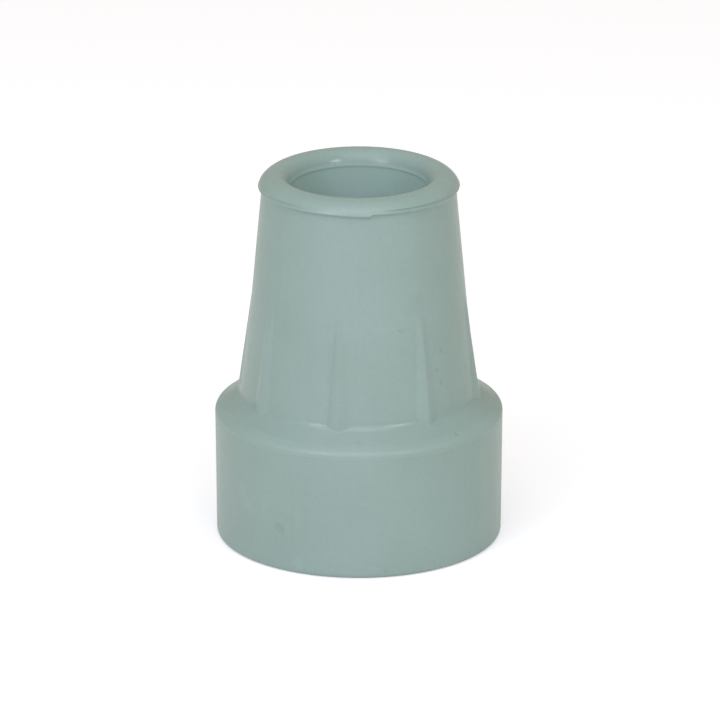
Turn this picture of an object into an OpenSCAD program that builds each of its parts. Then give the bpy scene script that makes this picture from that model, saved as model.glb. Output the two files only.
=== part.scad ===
// Rubber cane tip: one moulded piece with a deep socket for a cane's end.
// Millimetres, +Z up along the cane, with the origin at the middle of the sole.

/* [Collar] */
// Diameter of the collar at its top edge
collar_d = 40; // [36:0.1:46]
// Diameter of the collar at the sole
foot_d = 39.7; // [36:0.1:46]
// Height of the collar, up to the corner under its rounded top edge
collar_h = 18.2; // [15:0.1:24]
// Rounding of the collar's top edge
collar_round = 0.9; // [0.3:0.1:1.6]
// Rounding of the edge around the sole
foot_round = 0.6; // [0.2:0.1:1.2]
// Slope of the shoulder between collar and neck, in degrees
shoulder_slope = 36; // [20:1:45]

/* [Neck] */
// Diameter of the neck where it stands on the shoulder
neck_foot_d = 32.9; // [31:0.1:34]
// Diameter of the neck where its steep lower taper ends
neck_bend_d = 29.9; // [28.5:0.1:30.5]
// Diameter of the neck right under the lip
neck_top_d = 26.8; // [25:0.1:28]
// Height of the steep lower taper
neck_lower_h = 12.8; // [9:0.1:18]
// Height of the upper taper, up to the lip
neck_upper_h = 16.7; // [12:0.1:24]
// Fillet in the crease between shoulder and neck
crease_round = 1.5; // [0.2:0.1:2]

/* [Lip] */
// Diameter of the rolled lip at its widest
lip_d = 27.8; // [27:0.1:30]
// Height of the lip above its underside
lip_h = 2; // [1.6:0.1:2.6]
// Radius of the lip's roll on its outer side
lip_outer_roll = 2.8; // [2.6:0.1:3.4]
// Radius of the lip's roll down into the socket
lip_inner_roll = 1.85; // [1.4:0.05:2.2]

/* [Socket] */
// Diameter of the socket, which is the diameter of the cane
bore_d = 19; // [17:0.1:20]
// Thickness of rubber between the socket's floor and the sole
floor_t = 14; // [8:0.5:18]

/* [Ribs] */
// Number of ribs around the foot of the neck
rib_count = 8; // [6:1:12]
// Height of a rib up the neck, from the shoulder
rib_len = 13.8; // [8:0.1:20]
// Width of a rib at its foot
rib_w = 3.4; // [1.6:0.1:4]
// How far a rib stands out from the neck at its foot
rib_h = 0.55; // [0.2:0.05:1]

/* [Tread] */
// Distance between the ring grooves in the sole
tread_pitch = 4.6; // [3:0.1:7]
// Width of a ring groove
tread_w = 1.6; // [0.8:0.1:2.4]
// Depth of a ring groove
tread_depth = 0.8; // [0.4:0.1:2]
// Plain land kept between the last groove and the sole's edge
tread_land = 3; // [2:0.1:6]

/* [Hidden] */
$fn = 96;
// Straight steps in each rounded stretch of the section
arc_steps = 12;
// Share of a rib's length that runs on inside the body at each end
rib_sink = 0.1;
// Share of a rib's half width that runs on inside the body at each side
rib_spread = 0.6;
// Clearance by which a cut starts outside the body
cut_over = 1;

collar_r = collar_d / 2;
foot_r = foot_d / 2;
neck_foot_r = neck_foot_d / 2;
neck_bend_r = neck_bend_d / 2;
neck_top_r = neck_top_d / 2;
lip_r = lip_d / 2;
bore_r = bore_d / 2;

// Heights of the section's corners, from the sole up
crease_z = collar_h + (collar_r - neck_foot_r) * tan(shoulder_slope);
bend_z = crease_z + neck_lower_h;
lip_z = bend_z + neck_upper_h;
top_z = lip_z + lip_h;

// Angle of the lower taper from the vertical
lower_taper = atan((neck_foot_r - neck_bend_r) / neck_lower_h);
// Radius of the lip's crest, between its two rolls
crest_r = bore_r + lip_inner_roll;
// Angle around the outer roll at which the lip's edge stands
lip_edge_angle = acos((lip_r - crest_r) / lip_outer_roll);

tread_count = floor((foot_r - tread_land) / tread_pitch);

function arc(centre, r, from, to) =
    [for (i = [0:arc_steps]) let (a = from + (to - from) * i / arc_steps) centre + r * [cos(a), sin(a)]];

function along(a, b, share) = a + (b - a) * share;

// Radius of the neck at a height
function neck_r(z) =
    z < bend_z
        ? along(neck_foot_r, neck_bend_r, (z - crease_z) / neck_lower_h)
        : along(neck_bend_r, neck_top_r, (z - bend_z) / neck_upper_h);

foot_edge = arc([foot_r - foot_round, foot_round], foot_round, -90, 0);

collar_edge =
    let (turn = 90 - shoulder_slope)
    arc([collar_r - collar_round, collar_h - collar_round * tan(turn / 2)], collar_round, 0, turn);

crease =
    let (reach = crease_round * tan((90 - shoulder_slope - lower_taper) / 2))
    let (shoulder_point = [neck_foot_r, crease_z] + reach * [cos(shoulder_slope), -sin(shoulder_slope)])
    let (centre = shoulder_point + crease_round * [sin(shoulder_slope), cos(shoulder_slope)])
    arc(centre, crease_round, 270 - shoulder_slope, 180 + lower_taper);

lip_outside = arc([crest_r, top_z - lip_outer_roll], lip_outer_roll, lip_edge_angle, 90);

lip_inside = arc([crest_r, top_z - lip_inner_roll], lip_inner_roll, 90, 180);

// Half section, from the middle of the sole around the outside and down into the socket
section = concat(
    [[0, 0]],
    foot_edge,
    collar_edge,
    crease,
    [[neck_bend_r, bend_z], [neck_top_r, lip_z], [lip_r, lip_z]],
    lip_outside,
    lip_inside,
    [[bore_r, floor_t], [0, floor_t]]
);

// One rib on the +X side: a ridge that runs out into the neck at its top
module rib() {
    top = [neck_r(crease_z + rib_len), 0, crease_z + rib_len];
    foot = [neck_foot_r + rib_h, 0, crease_z];
    foot_side = [sqrt(neck_foot_r ^ 2 - (rib_w / 2) ^ 2), rib_w / 2, crease_z];
    apex = along(foot, top, 1 + rib_sink);
    heel = along(top, foot, 1 + rib_sink);
    side_line = along(apex, foot_side, (apex.z - heel.z) / (apex.z - crease_z));
    side = along(heel, side_line, 1 + rib_spread);
    polyhedron(
        points = [apex, heel, side, [side.x, -side.y, side.z]],
        faces = [[0, 2, 1], [0, 1, 3], [0, 3, 2], [1, 2, 3]]
    );
}

module tread_groove(r) {
    rotate_extrude()
        translate([r - tread_w / 2, -cut_over])
            square([tread_w, cut_over + tread_depth]);
}

module cane_tip() {
    color("#9bb0ac")
        difference() {
            union() {
                rotate_extrude() polygon(section);
                for (i = [0:rib_count - 1]) rotate(i * 360 / rib_count) rib();
            }
            for (i = [1:tread_count]) tread_groove(i * tread_pitch);
        }
}

cane_tip();
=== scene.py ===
"""Rubber cane tip: the moulded body with its flash, ribs and small marks, in soft studio light."""

import math

import bpy
import numpy as np
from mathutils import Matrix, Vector


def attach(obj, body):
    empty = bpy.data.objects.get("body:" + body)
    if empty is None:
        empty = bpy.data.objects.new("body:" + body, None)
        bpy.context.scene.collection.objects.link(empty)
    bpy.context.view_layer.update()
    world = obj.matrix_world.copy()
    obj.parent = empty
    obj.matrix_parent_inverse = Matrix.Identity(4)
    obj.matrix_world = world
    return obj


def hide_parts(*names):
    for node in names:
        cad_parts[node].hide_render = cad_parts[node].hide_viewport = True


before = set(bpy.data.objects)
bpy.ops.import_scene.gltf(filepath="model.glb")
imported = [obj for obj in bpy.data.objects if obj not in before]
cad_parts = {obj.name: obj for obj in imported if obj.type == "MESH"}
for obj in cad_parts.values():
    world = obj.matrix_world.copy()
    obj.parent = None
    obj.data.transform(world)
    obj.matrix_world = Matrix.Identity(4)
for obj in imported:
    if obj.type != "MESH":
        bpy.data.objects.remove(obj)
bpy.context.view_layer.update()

MM = 0.001

# Sizes of the tip in millimetres, as in the solid
COLLAR_R = 20.0
FOOT_R = 19.85
COLLAR_H = 18.2
COLLAR_ROUND = 0.9
FOOT_ROUND = 0.6
SHOULDER_SLOPE = math.radians(36)
NECK_FOOT_R = 16.45
NECK_BEND_R = 14.95
NECK_TOP_R = 13.4
NECK_LOWER_H = 12.8
NECK_UPPER_H = 16.7
CREASE_ROUND = 1.5
LIP_R = 13.9
LIP_H = 2.0
LIP_OUTER_ROLL = 2.8
LIP_INNER_ROLL = 1.85
BORE_R = 9.5
FLOOR_T = 14.0
RIB_COUNT = 8
RIB_LEN = 13.8
RIB_W = 3.4
RIB_H = 0.55
TREAD_PITCH = 4.6
TREAD_W = 1.6
TREAD_DEPTH = 0.8
TREAD_LAND = 3.0

# Corners of the section that follow from these sizes
CREASE_Z = COLLAR_H + (COLLAR_R - NECK_FOOT_R) * math.tan(SHOULDER_SLOPE)
BEND_Z = CREASE_Z + NECK_LOWER_H
LIP_Z = BEND_Z + NECK_UPPER_H
TOP_Z = LIP_Z + LIP_H
CREST_R = BORE_R + LIP_INNER_ROLL

# Roundings of the socket's floor and of the tread, which are sharp in the solid
FLOOR_ROUND = 0.8
TREAD_ROUND = 0.15

# Upper end and soft crest of each rib
RIB_TOP_W = 1.6
RIB_TOP_H = 0.18
RIB_TOP_RAMP = 0.8
RIB_CREST = 0.12
# A fine crease along the left foot of the front rib
RIB_CREASE = 0.15
RIB_CREASE_W = 0.30

# The lip's lower edge, slightly rounded, stands a little above its corner in the solid
EDGE_LIFT = 0.12
EDGE_ROUND = 0.2
# Where the moulding flash along that edge is torn off, in degrees right of the front as photographed
TEAR_AT = 7.0
TEAR_W = 0.8
TEAR_STEP = 0.24
# Turns over which the edge drops to the flash, steps up at the tear, levels out, and sinks on the left
FLASH_SPAN = (-20, TEAR_AT - 2)
TEAR_SPAN = (TEAR_AT, TEAR_AT + TEAR_W)
LEVEL_SPAN = (12, 60)
SINK_START_SPAN = (-150, -110)
SINK_END_SPAN = (-60, -35)
# How far the flash stands out beside the tear, and the turns over which it comes out
FLASH_OUT = 0.1
FLASH_OUT_SPAN = (TEAR_AT - 16, TEAR_AT - 2)
# The neck flares over this height to meet the edge from below, by less at the front than at the sides
FLARE_H = 0.5
FLARE_FRONT = 0.12
FLARE_SIDE = 0.26
FLARE_SPAN = (6, 50)

# A thin moulding line in the lip over its edge, which runs lower and wider at the sides
LINE_LIFT = 0.70
LINE_SINK = 0.32
LINE_DEPTH = 0.21
LINE_W = 0.09
LINE_SIDE_W = 0.10
# Turns over which the line starts right of the flash, ends left of it, and loses depth towards the sides
LINE_START_SPAN = (TEAR_AT + 3, TEAR_AT + 15)
LINE_END_SPAN = (-45, -28)
LINE_FADE_SPAN = (50, 80)
LINE_FADE = 0.5

# The lip rolls down into the socket on a tall curve that ends short of upright, at a fine edge over the wall
MOUTH_DROP = 2.08
MOUTH_END = math.radians(12)
# Below that edge the wall stands back a little, at these depths under it
MOUTH_STEP = 0.03
MOUTH_STEP_TOP = 0.09
MOUTH_STEP_FOOT = 0.45
MOUTH_STEP_END = 1.35

# Rows of the mesh in each stretch of the section
FOOT_ROWS = 6
COLLAR_ROWS = 14
COLLAR_EDGE_ROWS = 7
SHOULDER_ROWS = 16
CREASE_ROWS = 9
NECK_LOWER_ROWS = 24
NECK_UPPER_ROWS = 13
FLARE_ROWS = 4
EDGE_ROWS = 3
OUTER_ROLL_ROWS = 9
INNER_ROLL_ROWS = 14
WALL_ROWS = 12
FLOOR_EDGE_ROWS = 5
# Closer rows over the foot of the lip's outer roll, between heights above its edge and above its corner
ROLL_FOOT_ROWS = 15
ROLL_FOOT_START = 0.28
ROLL_FOOT_END = 1.35
# Rise from the last of these rows to the next one
ROLL_FOOT_GAP = 0.1
# A ring between the edge and the middle of the socket's floor
FLOOR_RING_R = 4.0

# Columns of the mesh around the axis, closer together over the ribs and at the tear
COLUMNS = 480
COLUMN_SAMPLES = 7201
RIB_CROWDING = 2.2
RIB_CROWDING_W = 4.0
TEAR_CROWDING = 4.0
TEAR_CROWDING_W = 1.5
# Edges that bend by more than this are shaded sharp
SHARP_ANGLE = math.radians(50)

# Tones of the rubber where its mottling is darkest and palest
DARK_TONE = (0.312, 0.410, 0.399, 1)
PALE_TONE = (0.334, 0.434, 0.430, 1)

# Noises in the rubber: cells to the metre and level of detail
NOISES = {
    "mottle": (90.0, 4.0),
    "sheen": (260.0, 4.0),
    "waves": (420.0, 2.0),
    "specks": (700.0, 1.0),
    "drag": (1100.0, 2.0),
    "grain": (1500.0, 2.0),
    "wobble": (1600.0, 2.0),
    "fine": (2600.0, 2.0),
}
# Most of a noise lies in this span around its middle, and specks show where it is higher still
NOISE_SPAN = (0.3, 0.7)
NOISE_MIDDLE = (0.5, 0.5, 0.5)
SPECK_SPAN = (0.70, 0.80)
# Factors on the place that stretch the drag lines of the mould upright
DRAG_STRETCH = (1, 1, 0.07)

# Changes of tone, as shares of it
GRAIN_TONE = 0.015
DRAG_TONE = 0.006
SPECK_TONE = -0.015
# Painted light: the socket's wall made paler where it lies in shade
SOCKET_PAINTED_LIGHT = 0.31
# Painted highlight along the collar's top edge
EDGE_PAINTED_HIGHLIGHT = 0.05
# Painted light on the lip's upper part
PAINTED_LIP_LIGHT = 0.025

# Painted light on the socket's wall and the lowest part of the lip's roll into it, paler where the socket
# lies in shade: millimetres from the axis and heights over which it fades
SOCKET_LIGHT_SIDE_SPAN = (BORE_R + 0.02, BORE_R + 0.3)
SOCKET_LIGHT_TOP_SPAN = (TOP_Z - MOUTH_DROP, TOP_Z - 1.3)
SOCKET_LIGHT_FOOT_SPAN = (1.0, 2.0)
# Painted highlight along the collar's top edge, and painted light on the lip's upper part: millimetres from
# the axis and heights over which they start
EDGE_HIGHLIGHT_SIDE_SPAN = (COLLAR_R - 1.6, COLLAR_R - 0.3)
EDGE_HIGHLIGHT_FOOT_SPAN = (COLLAR_H - 1.1, COLLAR_H - 0.1)
PAINTED_LIP_LIGHT_SPAN = (LIP_Z + 0.3, LIP_Z + 1.0)

# Roughness of the glossiest and the dullest patch, what the band of painted highlight along the collar's top
# edge adds to it, and the level of reflection
SHEEN_LOW = 0.22
SHEEN_HIGH = 0.265
EDGE_BAND_ROUGHNESS = 0.15
REFLECTION_LEVEL = 0.55

# Relief of the surface in millimetres, the dents' to each unit of their change of tone
WAVES_RELIEF = 0.02
FINE_RELIEF = 0.002
SPECK_RELIEF = -0.006
DENT_RELIEF = 1.2
BUMP_STRENGTH = 0.8

# Share of a mark's size that has its full strength, and millimetres by which its edge wobbles
MARK_CORE = 0.35
MARK_WOBBLE = 0.9
# Marks of use, and among the dents a darker spot in a crease: degrees right of the front, millimetres up,
# size, change of tone and squeeze in height
DENTS = [
    (-33.6, 6.2, 1.05, -0.07, 1.0),
    (-0.4, 19.5, 0.5, -0.06, 1.0),
    # A darker spot, pressed in, at the foot of the left rib in its crease with the shoulder
    (-62.0, 20.9, 0.9, -0.05, 1.0),
    (23.0, 34.0, 0.9, -0.06, 3.0),
    (47.5, 30.0, 0.4, -0.05, 1.0),
    (45.5, 25.6, 0.4, -0.05, 1.0),
    (43.0, 27.4, 0.35, -0.06, 1.0),
    (44.8, 18.9, 0.5, -0.06, 1.0),
    (11.5, 1.0, 0.6, -0.05, 1.0),
]
SCUFFS = [
    (11.0, 34.4, 1.7, 0.04, 4.0),
    (33.0, 37.2, 1.9, -0.03, 1.0),
    (-54.0, 10.2, 1.5, 0.04, 1.0),
    (-51.0, 8.3, 1.6, 0.04, 1.5),
    (-24.6, 8.3, 1.0, 0.04, 0.5),
    (2.4, 11.0, 1.0, 0.03, 2.0),
    (-25.0, 1.6, 1.0, 0.05, 0.6),
    (6.0, 1.3, 1.1, 0.05, 1.5),
]

# Camera, as the photograph was taken, with its distance in metres
VIEW_AZIMUTH = math.radians(10.0)
VIEW_ELEVATION = math.radians(19.54)
VIEW_DISTANCE = 1.0
VIEW_TARGET = Vector((0, 0, 24.9 * MM))
VIEW_TARGET_RIGHT = 0.15 * MM
LENS_MM = 360.0
SENSOR_MM = 36.0

# White floor, from its middle to a side in metres, which lies a hair under the sole
FLOOR_REACH = 3.0
FLOOR_GAP = 0.05 * MM
FLOOR_PAINT = (0.9, 0.9, 0.9, 1)
# Glow that brings the floor up to white as seen, and a weaker one for its reflections
GLOW_COLOR = (0.94, 0.88, 1.0, 1)
FLOOR_GLOW = 0.445
MIRRORED_GLOW = 0.1

# Light from all around
WORLD_COLOR = (1.0, 0.995, 0.82, 1)
WORLD_STRENGTH = 0.45
# Soft lights: name, degrees right of the camera, degrees up, distance and size in metres, watts and colour
LIGHTS = [
    ("top", -10, 78, 0.6, 0.60, 0.24, (1.0, 1.0, 0.97)),
    ("front", -10, 48, 0.8, 0.80, 2.68, (0.76, 0.87, 1.0)),
    ("front_left", -39, 28, 0.5, 0.16, 0.32, (0.95, 0.98, 1.0)),
    ("front_right", 39, 28, 0.5, 0.09, 0.28, (1.0, 0.98, 0.92)),
]


def arc(centre, radius, start, end, steps):
    """Points of a round stretch in the half section, angles in degrees."""
    angles = np.radians(np.linspace(start, end, steps + 1))
    return np.c_[centre[0] + radius * np.cos(angles), centre[1] + radius * np.sin(angles)]


def line(a, b, steps):
    """Points from a towards b, without either end."""
    share = np.linspace(0, 1, steps + 1)[1:-1, None]
    return np.array(a) + share * (np.array(b) - np.array(a))


def neck_radius(z):
    """The neck's radius, with the lower taper run on below the shoulder."""
    slope = (NECK_FOOT_R - NECK_BEND_R) / NECK_LOWER_H
    lower = NECK_FOOT_R - slope * (z - CREASE_Z)
    upper = NECK_BEND_R + (NECK_TOP_R - NECK_BEND_R) / NECK_UPPER_H * (z - BEND_Z)
    return np.where(z < BEND_Z, lower, upper)


def outer_roll(z):
    """Radius of the lip's outer roll at a height."""
    return CREST_R + np.sqrt(LIP_OUTER_ROLL ** 2 - (z - TOP_Z + LIP_OUTER_ROLL) ** 2)


def sole_section():
    """The sole from its middle out, with its ring grooves."""
    points = [(0.0, 0.0)]
    count = int((FOOT_R - TREAD_LAND) / TREAD_PITCH)
    for i in range(1, count + 1):
        inner = i * TREAD_PITCH - TREAD_W / 2
        outer = i * TREAD_PITCH + TREAD_W / 2
        points += [(inner - TREAD_ROUND, 0.0), (inner, TREAD_ROUND)]
        points += [(inner, TREAD_DEPTH - TREAD_ROUND), (inner + TREAD_ROUND, TREAD_DEPTH)]
        points += [(outer - TREAD_ROUND, TREAD_DEPTH), (outer, TREAD_DEPTH - TREAD_ROUND)]
        points += [(outer, TREAD_ROUND), (outer + TREAD_ROUND, 0.0)]
    return np.array(points)


def collar_section():
    """Foot edge, collar wall and rounded top edge."""
    turn = 90 - math.degrees(SHOULDER_SLOPE)
    foot = arc((FOOT_R - FOOT_ROUND, FOOT_ROUND), FOOT_ROUND, -90, 0, FOOT_ROWS)
    top_z = COLLAR_H - COLLAR_ROUND * math.tan(math.radians(turn / 2))
    top = arc((COLLAR_R - COLLAR_ROUND, top_z), COLLAR_ROUND, 0, turn, COLLAR_EDGE_ROWS)
    return np.vstack([foot, line(foot[-1], top[0], COLLAR_ROWS), top])


def neck_section(collar_end):
    """Sloped shoulder, crease and both tapers of the neck, up to the lip's rim."""
    taper = math.atan((NECK_FOOT_R - NECK_BEND_R) / NECK_LOWER_H)
    reach = CREASE_ROUND * math.tan((math.pi / 2 - SHOULDER_SLOPE - taper) / 2)
    down = np.array((math.cos(SHOULDER_SLOPE), -math.sin(SHOULDER_SLOPE)))
    out = np.array((math.sin(SHOULDER_SLOPE), math.cos(SHOULDER_SLOPE)))
    start = np.array((NECK_FOOT_R, CREASE_Z)) + reach * down
    crease = arc(start + CREASE_ROUND * out, CREASE_ROUND,
                 270 - math.degrees(SHOULDER_SLOPE), 180 + math.degrees(taper), CREASE_ROWS)
    bend = (NECK_BEND_R, BEND_Z)
    shoulder = line(collar_end, start, SHOULDER_ROWS)
    lower = line(crease[-1], bend, NECK_LOWER_ROWS)
    upper = line(bend, (NECK_TOP_R, LIP_Z), NECK_UPPER_ROWS)
    return np.vstack([shoulder, crease, lower, [bend], upper])


def from_front(azimuth):
    """The turn of an azimuth: degrees right of the front as photographed, between -180 and 180."""
    return (np.degrees(azimuth - VIEW_AZIMUTH) + 180) % 360 - 180


def ease(value, start, end):
    """0 before start and 1 after end, with a smooth rise between them."""
    share = np.clip((value - start) / (end - start), 0, 1)
    return share * share * (3 - 2 * share)


def edge_offset(turn):
    """How far the lip's lower edge runs above or below its mean height around the tip."""
    past_tear = ease(turn, *TEAR_SPAN)
    flash = ease(turn, *FLASH_SPAN) * (1 - past_tear)
    torn = past_tear * (1 - ease(turn, *LEVEL_SPAN))
    sunk_left = (1 - ease(turn, *SINK_END_SPAN)) * ease(turn, *SINK_START_SPAN)
    return TEAR_STEP / 2 * (torn - flash - sunk_left)


def line_depth(turn):
    """Depth of the moulding line: none where the flash hides it, and less at the sides and back."""
    right = ease(turn, *LINE_START_SPAN)
    left = 1 - ease(turn, *LINE_END_SPAN)
    return LINE_DEPTH * np.maximum(left, right) * (1 - LINE_FADE * ease(np.abs(turn), *LINE_FADE_SPAN))


def rim_rows(turn):
    """Flare, lower edge of the lip and foot of its outer roll, as radius and height by row and column."""
    edge_z = LIP_Z + EDGE_LIFT + edge_offset(turn)
    flash = FLASH_OUT * ease(turn, *FLASH_OUT_SPAN) * (1 - ease(turn, *TEAR_SPAN))
    flare = FLARE_FRONT + (FLARE_SIDE - FLARE_FRONT) * ease(np.abs(turn), *FLARE_SPAN)
    edge = arc((LIP_R - EDGE_ROUND, EDGE_ROUND), EDGE_ROUND, -90, 0, EDGE_ROWS)
    radius, height = [], []
    for share in np.linspace(0, 1, FLARE_ROWS):
        z = edge_z - FLARE_H * (1 - share)
        radius.append(neck_radius(z) + flare * share ** 2)
        height.append(z)
    radius += [r + flash for r, _ in edge]
    height += [edge_z + lift for _, lift in edge]
    sideways = np.sin(np.radians(turn)) ** 2
    line_z = LIP_Z + LINE_LIFT - LINE_SINK * sideways
    line_w = LINE_W + LINE_SIDE_W * sideways
    for share in np.linspace(0, 1, ROLL_FOOT_ROWS):
        z = (edge_z + ROLL_FOOT_START) * (1 - share) + (LIP_Z + ROLL_FOOT_END) * share
        groove = line_depth(turn) * np.exp(-((z - line_z) / line_w) ** 2)
        radius.append(np.minimum(outer_roll(z), LIP_R) + flash * (1 - share) ** 2 - groove)
        height.append(z)
    return np.array(radius), np.array(height)


def lip_section():
    """The lip's outer roll, its roll into the socket, and the fine edge below that."""
    start_z = LIP_Z + ROLL_FOOT_END + ROLL_FOOT_GAP
    start = math.degrees(math.asin((start_z - TOP_Z + LIP_OUTER_ROLL) / LIP_OUTER_ROLL))
    outside = arc((CREST_R, TOP_Z - LIP_OUTER_ROLL), LIP_OUTER_ROLL, start, 90, OUTER_ROLL_ROWS)
    wide = LIP_INNER_ROLL / math.cos(MOUTH_END)
    tall = MOUTH_DROP / (1 - math.sin(MOUTH_END))
    angles = np.linspace(math.pi / 2, math.pi - MOUTH_END, INNER_ROLL_ROWS + 1)[1:]
    inside = np.c_[CREST_R + wide * np.cos(angles), TOP_Z - tall + tall * np.sin(angles)]
    mouth_z = TOP_Z - MOUTH_DROP
    edge = np.array([
        (BORE_R, mouth_z - MOUTH_STEP),
        (BORE_R + MOUTH_STEP, mouth_z - MOUTH_STEP_TOP),
        (BORE_R + MOUTH_STEP, mouth_z - MOUTH_STEP_FOOT),
        (BORE_R, mouth_z - MOUTH_STEP_END),
    ])
    return np.vstack([outside, inside, edge])


def socket_section(lip_end):
    """The socket's wall from the lip down, and its floor in to the middle."""
    edge = arc((BORE_R - FLOOR_ROUND, FLOOR_T + FLOOR_ROUND), FLOOR_ROUND, 0, -90, FLOOR_EDGE_ROWS)
    wall = line(lip_end, edge[0], WALL_ROWS)
    return np.vstack([wall, edge, [(FLOOR_RING_R, FLOOR_T)], [(0.0, FLOOR_T)]])


def column_azimuths():
    """Azimuth of each column, closer together over the ribs and at the tear."""
    fine = np.linspace(-180, 180, COLUMN_SAMPLES)
    pitch = 360 / RIB_COUNT
    to_rib = (fine + pitch / 2) % pitch - pitch / 2
    to_tear = fine - math.degrees(VIEW_AZIMUTH) - TEAR_AT
    density = 1 + RIB_CROWDING * np.exp(-(to_rib / RIB_CROWDING_W) ** 2)
    density += TEAR_CROWDING * np.exp(-(to_tear / TEAR_CROWDING_W) ** 2)
    total = np.concatenate([[0], np.cumsum(density[1:] + density[:-1])])
    places = np.linspace(0, total[-1], COLUMNS, endpoint=False)
    return np.radians(np.interp(places, total, fine))


def ribbed(radius, z, azimuth):
    """The outside radius with the ribs, which stand on the lower neck and run down onto the shoulder."""
    pitch = 2 * math.pi / RIB_COUNT
    across = np.abs((azimuth + pitch / 2) % pitch - pitch / 2) * radius
    share = np.maximum((CREASE_Z + RIB_LEN - z) / RIB_LEN, 0)
    half = (RIB_TOP_W + (RIB_W - RIB_TOP_W) * share) / 2
    crest = math.hypot(1, RIB_CREST) - RIB_CREST
    flank = np.maximum(1 - (np.hypot(across / half, RIB_CREST) - RIB_CREST) / crest, 0)
    ramp = np.clip((CREASE_Z + RIB_LEN - z) / RIB_TOP_RAMP, 0, 1)
    height = (RIB_TOP_H + (RIB_H - RIB_TOP_H) * share) * ramp * flank
    on_rib = (flank > 0) & (z > COLLAR_H)
    with_rib = np.where(on_rib, np.maximum(radius, neck_radius(z) + height), radius)
    from_front_rib = (azimuth + math.pi) % (2 * math.pi) - math.pi
    crease = np.exp(-((from_front_rib * radius + half) / RIB_CREASE_W) ** 2) * ramp
    return np.where(z > CREASE_Z, with_rib - RIB_CREASE * crease, with_rib)


def rings(section):
    """Radius and height of a section's points, each repeated for every column."""
    return np.repeat(section[:, :1], COLUMNS, axis=1), np.repeat(section[:, 1:], COLUMNS, axis=1)


def ring_faces(row_count):
    """Quads between the rings, and two fans that close them over the two points that come last."""
    column = np.arange(COLUMNS)
    after = (column + 1) % COLUMNS
    quads = [np.c_[r * COLUMNS + column, r * COLUMNS + after,
                   (r + 1) * COLUMNS + after, (r + 1) * COLUMNS + column] for r in range(row_count - 1)]
    last = (row_count - 1) * COLUMNS
    sole_middle = row_count * COLUMNS
    floor_middle = sole_middle + 1
    sole_fan = np.c_[after, column, np.full(COLUMNS, sole_middle)]
    floor_fan = np.c_[last + column, last + after, np.full(COLUMNS, floor_middle)]
    return np.vstack(quads).tolist() + sole_fan.tolist() + floor_fan.tolist()


def tip_mesh():
    """The whole tip as one closed mesh, turned around the axis from its half section."""
    azimuth = column_azimuths()
    sole = sole_section()
    collar = collar_section()
    lip = lip_section()
    socket = socket_section(lip[-1])
    outside_radius, outside_z = rings(np.vstack([sole[1:], collar, neck_section(collar[-1])]))
    rim_radius, rim_z = rim_rows(from_front(azimuth))
    inside_radius, inside_z = rings(np.vstack([lip, socket[:-1]]))
    radius = np.vstack([ribbed(outside_radius, outside_z, azimuth), rim_radius, inside_radius])
    z = np.vstack([outside_z, rim_z, inside_z])

    x = radius * np.sin(azimuth)
    y = -radius * np.cos(azimuth)
    ring_points = np.stack([x, y, z], axis=-1).reshape(-1, 3)
    middles = [(0, 0, sole[0][1]), (0, 0, socket[-1][1])]
    points = np.vstack([ring_points, middles]) * MM

    mesh = bpy.data.meshes.new("cane_tip_rubber")
    mesh.from_pydata(points.tolist(), [], ring_faces(len(radius)))
    mesh.validate()
    mesh.shade_smooth()
    mesh.set_sharp_from_angle(angle=SHARP_ANGLE)
    return mesh


def node(tree, kind, inputs=None, **settings):
    """A new node with its settings, its inputs given as links or plain values."""
    made = tree.nodes.new(kind)
    for name, value in settings.items():
        setattr(made, name, value)
    for key, value in (inputs or {}).items():
        if isinstance(value, bpy.types.NodeSocket):
            tree.links.new(value, made.inputs[key])
        else:
            made.inputs[key].default_value = value
    return made


def add(tree, *values):
    """The sum of two or more values."""
    total = values[0]
    for value in values[1:]:
        total = node(tree, "ShaderNodeMath", {0: total, 1: value}, operation="ADD").outputs["Value"]
    return total


def multiply(tree, *values):
    """The product of two or more values."""
    product = values[0]
    for value in values[1:]:
        product = node(tree, "ShaderNodeMath", {0: product, 1: value}, operation="MULTIPLY").outputs["Value"]
    return product


def vector_math(tree, operation, a, b):
    """Two vectors added, subtracted or multiplied axis by axis."""
    return node(tree, "ShaderNodeVectorMath", {0: a, 1: b}, operation=operation).outputs["Vector"]


def scaled(tree, vector, factor):
    """A vector times one factor."""
    inputs = {0: vector, "Scale": factor}
    return node(tree, "ShaderNodeVectorMath", inputs, operation="SCALE").outputs["Vector"]


def length(tree, vector):
    """The length of a vector."""
    return node(tree, "ShaderNodeVectorMath", {0: vector}, operation="LENGTH").outputs["Value"]


def remap(tree, value, span, low, high):
    """A value taken smoothly from low to high as it runs over a span."""
    inputs = {"Value": value, "From Min": span[0], "From Max": span[1], "To Min": low, "To Max": high}
    return node(tree, "ShaderNodeMapRange", inputs, interpolation_type="SMOOTHSTEP").outputs["Result"]


def remap_mm(tree, value, span, low, high):
    """The same for a length, with the span in millimetres."""
    return remap(tree, value, (span[0] * MM, span[1] * MM), low, high)


def noise(tree, place, name, output="Fac"):
    """One of the noises at a place."""
    scale, detail = NOISES[name]
    inputs = {"Vector": place, "Scale": scale, "Detail": detail}
    return node(tree, "ShaderNodeTexNoise", inputs).outputs[output]


def on_tip(turn, z):
    """A place on the outside of the tip, from degrees right of the front and millimetres above the sole."""
    if z < COLLAR_H:
        radius = COLLAR_R
    elif z < CREASE_Z:
        radius = COLLAR_R - (z - COLLAR_H) / math.tan(SHOULDER_SLOPE)
    else:
        radius = float(neck_radius(z))
    azimuth = VIEW_AZIMUTH + math.radians(turn)
    return Vector((radius * math.sin(azimuth), -radius * math.cos(azimuth), z)) * MM


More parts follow.
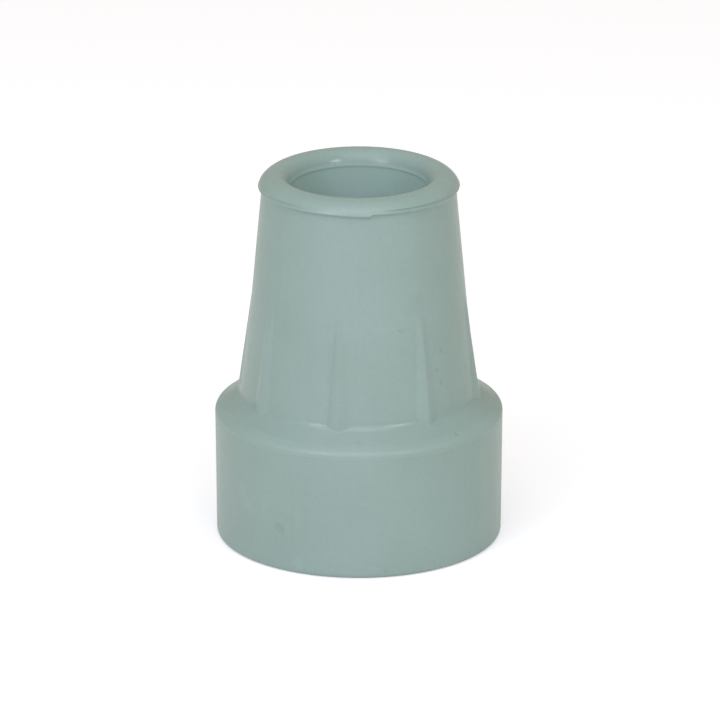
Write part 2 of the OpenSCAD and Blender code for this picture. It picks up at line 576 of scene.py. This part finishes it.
def mark(tree, place, turn, z, size, strength, flat):
    """A small spot, darker or lighter by strength; flat squeezes it in height."""
    offset = vector_math(tree, "SUBTRACT", place, on_tip(turn, z))
    squeezed = vector_math(tree, "MULTIPLY", offset, (1, 1, flat))
    return remap_mm(tree, length(tree, squeezed), (MARK_CORE * size, size), strength, 0.0)


def all_marks(tree, place, marks):
    """The changes of tone of a list of marks, added up."""
    return add(tree, *[mark(tree, place, *one) for one in marks])


def uneven_place(tree, place):
    """The place shifted a little by noise, which gives the marks uneven edges."""
    wobble = vector_math(tree, "SUBTRACT", noise(tree, place, "wobble", "Color"), NOISE_MIDDLE)
    return vector_math(tree, "ADD", place, scaled(tree, wobble, MARK_WOBBLE * MM))


def mottled_tone(tree, place):
    """The grey-green ground, softly mottled."""
    tone = node(tree, "ShaderNodeValToRGB", {"Fac": noise(tree, place, "mottle")})
    dark, pale = tone.color_ramp.elements
    dark.position, pale.position = NOISE_SPAN
    dark.color = DARK_TONE
    pale.color = PALE_TONE
    return tone.outputs["Color"]


def grain_and_drag(tree, place):
    """Fine grain, and upright drag lines of the mould."""
    grain = remap(tree, noise(tree, place, "grain"), NOISE_SPAN, -GRAIN_TONE, GRAIN_TONE)
    stretched = vector_math(tree, "MULTIPLY", place, DRAG_STRETCH)
    drag = remap(tree, noise(tree, stretched, "drag"), NOISE_SPAN, -DRAG_TONE, DRAG_TONE)
    return add(tree, grain, drag)


def painted_socket_light(tree, from_axis, height):
    """Painted light: the socket's wall made paler where it lies in shade; the sole has none."""
    inside = remap_mm(tree, from_axis, SOCKET_LIGHT_SIDE_SPAN, SOCKET_PAINTED_LIGHT, 0.0)
    below_mouth = remap_mm(tree, height, SOCKET_LIGHT_TOP_SPAN, 1.0, 0.0)
    above_sole = remap_mm(tree, height, SOCKET_LIGHT_FOOT_SPAN, 0.0, 1.0)
    return multiply(tree, inside, below_mouth, above_sole)


def edge_highlight_band(tree, from_axis, height):
    """The band along the collar's top edge, all round, that is made paler as a painted highlight and is also
    rougher.
    """
    near_edge = remap_mm(tree, from_axis, EDGE_HIGHLIGHT_SIDE_SPAN, 0.0, 1.0)
    up_to_edge = remap_mm(tree, height, EDGE_HIGHLIGHT_FOOT_SPAN, 0.0, 1.0)
    return multiply(tree, near_edge, up_to_edge)


def relief(tree, place, specks, dents):
    """Soft waves, fine grain, and pits at the specks and dents, in millimetres."""
    waves = multiply(tree, noise(tree, place, "waves"), WAVES_RELIEF)
    fine = multiply(tree, noise(tree, place, "fine"), FINE_RELIEF)
    return add(tree, waves, fine, multiply(tree, specks, SPECK_RELIEF), multiply(tree, dents, DENT_RELIEF))


def rubber_material():
    """Smooth moulded rubber: grey-green, softly mottled, with fine grain, small marks and an uneven sheen,
    with painted light in the socket and on the lip and a painted highlight along the collar's top edge.
    """
    material = bpy.data.materials.new("rubber")
    material.use_nodes = True
    tree = material.node_tree
    shader = tree.nodes["Principled BSDF"]
    place = node(tree, "ShaderNodeTexCoord").outputs["Object"]
    from_axis = length(tree, vector_math(tree, "MULTIPLY", place, (1, 1, 0)))
    height = node(tree, "ShaderNodeSeparateXYZ", {"Vector": place}).outputs["Z"]

    specks = remap(tree, noise(tree, place, "specks"), SPECK_SPAN, 0.0, 1.0)
    uneven = uneven_place(tree, place)
    dents = all_marks(tree, uneven, DENTS)
    scuffs = all_marks(tree, uneven, SCUFFS)
    highlight_band = edge_highlight_band(tree, from_axis, height)

    level = add(
        tree,
        grain_and_drag(tree, place),
        add(tree, dents, scuffs),
        # The socket's wall, paler by painted light where it lies in shade
        painted_socket_light(tree, from_axis, height),
        # The lip's upper part, paler by painted light
        remap_mm(tree, height, PAINTED_LIP_LIGHT_SPAN, 0.0, PAINTED_LIP_LIGHT),
        # Painted highlight along the collar's top edge
        multiply(tree, highlight_band, EDGE_PAINTED_HIGHLIGHT),
        multiply(tree, specks, SPECK_TONE),
        1.0,
    )
    tree.links.new(scaled(tree, mottled_tone(tree, place), level), shader.inputs["Base Color"])

    sheen = remap(tree, noise(tree, place, "sheen"), NOISE_SPAN, SHEEN_LOW, SHEEN_HIGH)
    # The band of painted highlight along the collar's edge is also rougher
    sheen = add(tree, sheen, multiply(tree, highlight_band, EDGE_BAND_ROUGHNESS))
    tree.links.new(sheen, shader.inputs["Roughness"])
    shader.inputs["Specular IOR Level"].default_value = REFLECTION_LEVEL

    surface = relief(tree, place, specks, dents)
    bump = node(tree, "ShaderNodeBump", {"Height": surface, "Distance": MM, "Strength": BUMP_STRENGTH})
    tree.links.new(bump.outputs["Normal"], shader.inputs["Normal"])
    return material


def make_tip():
    """The tip in the frame, in place of its solid."""
    tip = bpy.data.objects.new("cane_tip_rubber", tip_mesh())
    bpy.context.scene.collection.objects.link(tip)
    tip.data.materials.append(rubber_material())
    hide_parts("cane_tip")
    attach(tip, "root")


def floor_material():
    """White paint, with a glow that only the camera and the tip's reflections see."""
    material = bpy.data.materials.new("floor")
    material.use_nodes = True
    tree = material.node_tree
    tree.nodes.clear()
    paint = node(tree, "ShaderNodeBsdfDiffuse", {"Color": FLOOR_PAINT})
    path = node(tree, "ShaderNodeLightPath")
    mirrored = add(tree, path.outputs["Is Glossy Ray"], path.outputs["Is Transmission Ray"])
    seen = multiply(tree, path.outputs["Is Camera Ray"], FLOOR_GLOW)
    strength = add(tree, seen, multiply(tree, mirrored, MIRRORED_GLOW))
    glow = node(tree, "ShaderNodeEmission", {"Color": GLOW_COLOR, "Strength": strength})
    both = node(tree, "ShaderNodeAddShader", {0: paint.outputs["BSDF"], 1: glow.outputs["Emission"]})
    node(tree, "ShaderNodeOutputMaterial", {"Surface": both.outputs["Shader"]})
    return material


def make_floor():
    """A plain white floor that shows the tip's shadow."""
    corners = [(-FLOOR_REACH, -FLOOR_REACH, 0), (FLOOR_REACH, -FLOOR_REACH, 0),
               (FLOOR_REACH, FLOOR_REACH, 0), (-FLOOR_REACH, FLOOR_REACH, 0)]
    mesh = bpy.data.meshes.new("floor")
    mesh.from_pydata(corners, [], [(0, 1, 2, 3)])
    floor = bpy.data.objects.new("floor", mesh)
    floor.location.z = -FLOOR_GAP
    bpy.context.scene.collection.objects.link(floor)
    floor.data.materials.append(floor_material())


def way_out(azimuth, elevation):
    """Direction from the tip out towards a light or the camera, from angles in radians."""
    flat = math.cos(elevation)
    return Vector((math.sin(azimuth) * flat, -math.cos(azimuth) * flat, math.sin(elevation)))


def set_up(name, data, place, out):
    """A light or camera at a place, turned to look back against the way out."""
    item = bpy.data.objects.new(name, data)
    bpy.context.scene.collection.objects.link(item)
    item.location = place
    item.rotation_euler = out.to_track_quat("Z", "Y").to_euler()
    return item


def make_light(name, turn, rise, distance, size, power, color):
    """A square soft light aimed at the tip; turn and rise in degrees, from the camera and from level."""
    data = bpy.data.lights.new(name, "AREA")
    data.size = size
    data.energy = power
    data.color = color
    out = way_out(VIEW_AZIMUTH + math.radians(turn), math.radians(rise))
    set_up(name, data, VIEW_TARGET + out * distance, out)


def make_world():
    """Soft light from all around."""
    world = bpy.data.worlds.new("studio")
    world.use_nodes = True
    background = world.node_tree.nodes["Background"]
    background.inputs["Color"].default_value = WORLD_COLOR
    background.inputs["Strength"].default_value = WORLD_STRENGTH
    bpy.context.scene.world = world


def make_camera():
    """The camera of the photograph."""
    data = bpy.data.cameras.new("camera")
    data.sensor_width = SENSOR_MM
    data.lens = LENS_MM
    out = way_out(VIEW_AZIMUTH, VIEW_ELEVATION)
    right = Vector((math.cos(VIEW_AZIMUTH), math.sin(VIEW_AZIMUTH), 0))
    place = VIEW_TARGET + right * VIEW_TARGET_RIGHT + out * VIEW_DISTANCE
    bpy.context.scene.camera = set_up("camera", data, place, out)


make_tip()
make_floor()
for light in LIGHTS:
    make_light(*light)
make_world()
make_camera()
bpy.context.scene.view_settings.view_transform = "Standard"
